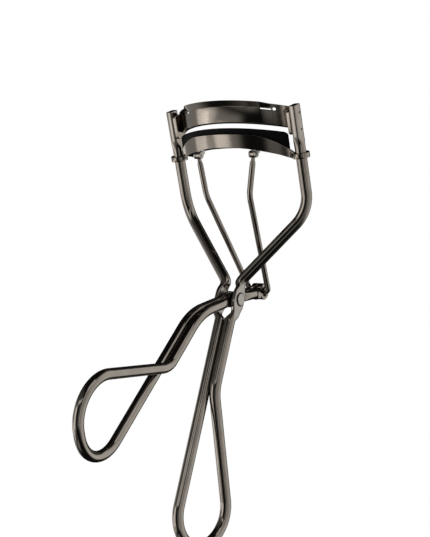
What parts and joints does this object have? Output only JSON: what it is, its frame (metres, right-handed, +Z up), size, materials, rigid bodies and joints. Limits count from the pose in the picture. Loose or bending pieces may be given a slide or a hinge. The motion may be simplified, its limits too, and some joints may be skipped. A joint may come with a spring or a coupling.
{
  "type": "eyelash curler",
  "caption": "Polished wire eyelash curler: a curved padded jaw slides on guide posts, driven by a lever with a finger loop through a long U-shaped push rod.",
  "frame": {"origin": "centre of the whole tool's box", "axes": "+Z up along the guide posts, +X across the jaws, handles lean towards -Y, jaws bulge towards -Y"},
  "size_m": [0.0448, 0.0906, 0.1158],
  "materials": {
    "polished_wire": "dark mirror polish",
    "brushed_bar": "dark, finely brushed",
    "rivet": "satin",
    "pad": "matte silicone"
  },
  "bodies": {
    "frame": {"frame_wire": "polished_wire", "upper_bar": "brushed_bar", "bar_rivets": "polished_wire", "pivot_pin": "rivet"},
    "lever": {"lever_wire": "polished_wire"},
    "jaw": {"lower_jaw": "brushed_bar", "jaw_pad": "pad", "rod_brackets": "polished_wire", "rod_hinge_pins": "polished_wire"},
    "rod": {"push_rod": "polished_wire"}
  },
  "joints": [
    {"name": "lever_pivot", "type": "hinge", "parent": "frame", "child": "lever", "pos_m": [0, 0.02636, 0.00357], "axis": [1, 0, 0], "range_deg": [-25, 4.8]},
    {"name": "jaw_slide", "type": "slide", "parent": "frame", "child": "jaw", "axis": [0, 0, 1], "range_m": [-0.0062, 0.00118]},
    {"name": "rod_swing", "type": "hinge", "parent": "jaw", "child": "rod", "pos_m": [0, 0.03571, 0.04234], "axis": [1, 0, 0], "range_deg": [-3.7, 0.8]}
  ],
  "couplings": [
    {"joint": "jaw_slide", "follows": "lever_pivot", "m_per_rad": 0.014},
    {"joint": "rod_swing", "follows": "lever_pivot", "ratio": 0.142}
  ]
}
